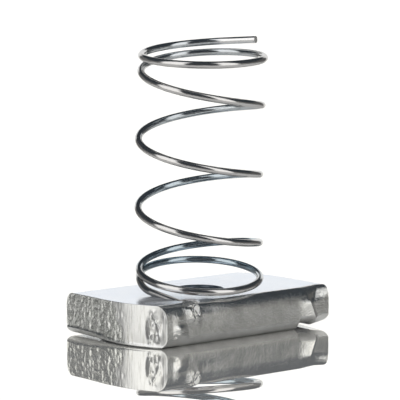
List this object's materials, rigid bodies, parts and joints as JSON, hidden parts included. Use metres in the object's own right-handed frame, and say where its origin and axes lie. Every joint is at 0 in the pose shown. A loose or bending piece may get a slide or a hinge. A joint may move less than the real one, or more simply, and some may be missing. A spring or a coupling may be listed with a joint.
{
  "type": "strut spring nut",
  "caption": "Toothed rectangular plate nut for slotted steel channel, with a tapped hole and a left-hand wire spring staked to one long edge.",
  "frame": {"origin": "on the axis of the tapped hole, in the plane of the plate's flat underside, on which it rests", "axes": "+Z along the tapped hole, up the spring; +X along the plate; the staked long edge faces -Y"},
  "size_m": [0.035, 0.023, 0.0444],
  "materials": {
    "zinc_plated_plate": "bright zinc plate over rolled and sheared steel",
    "zinc_plated_wire": "bright zinc plate over drawn wire"
  },
  "bodies": {
    "root": {"nut_plate": "zinc_plated_plate", "spring": "zinc_plated_wire"}
  },
  "joints": []
}
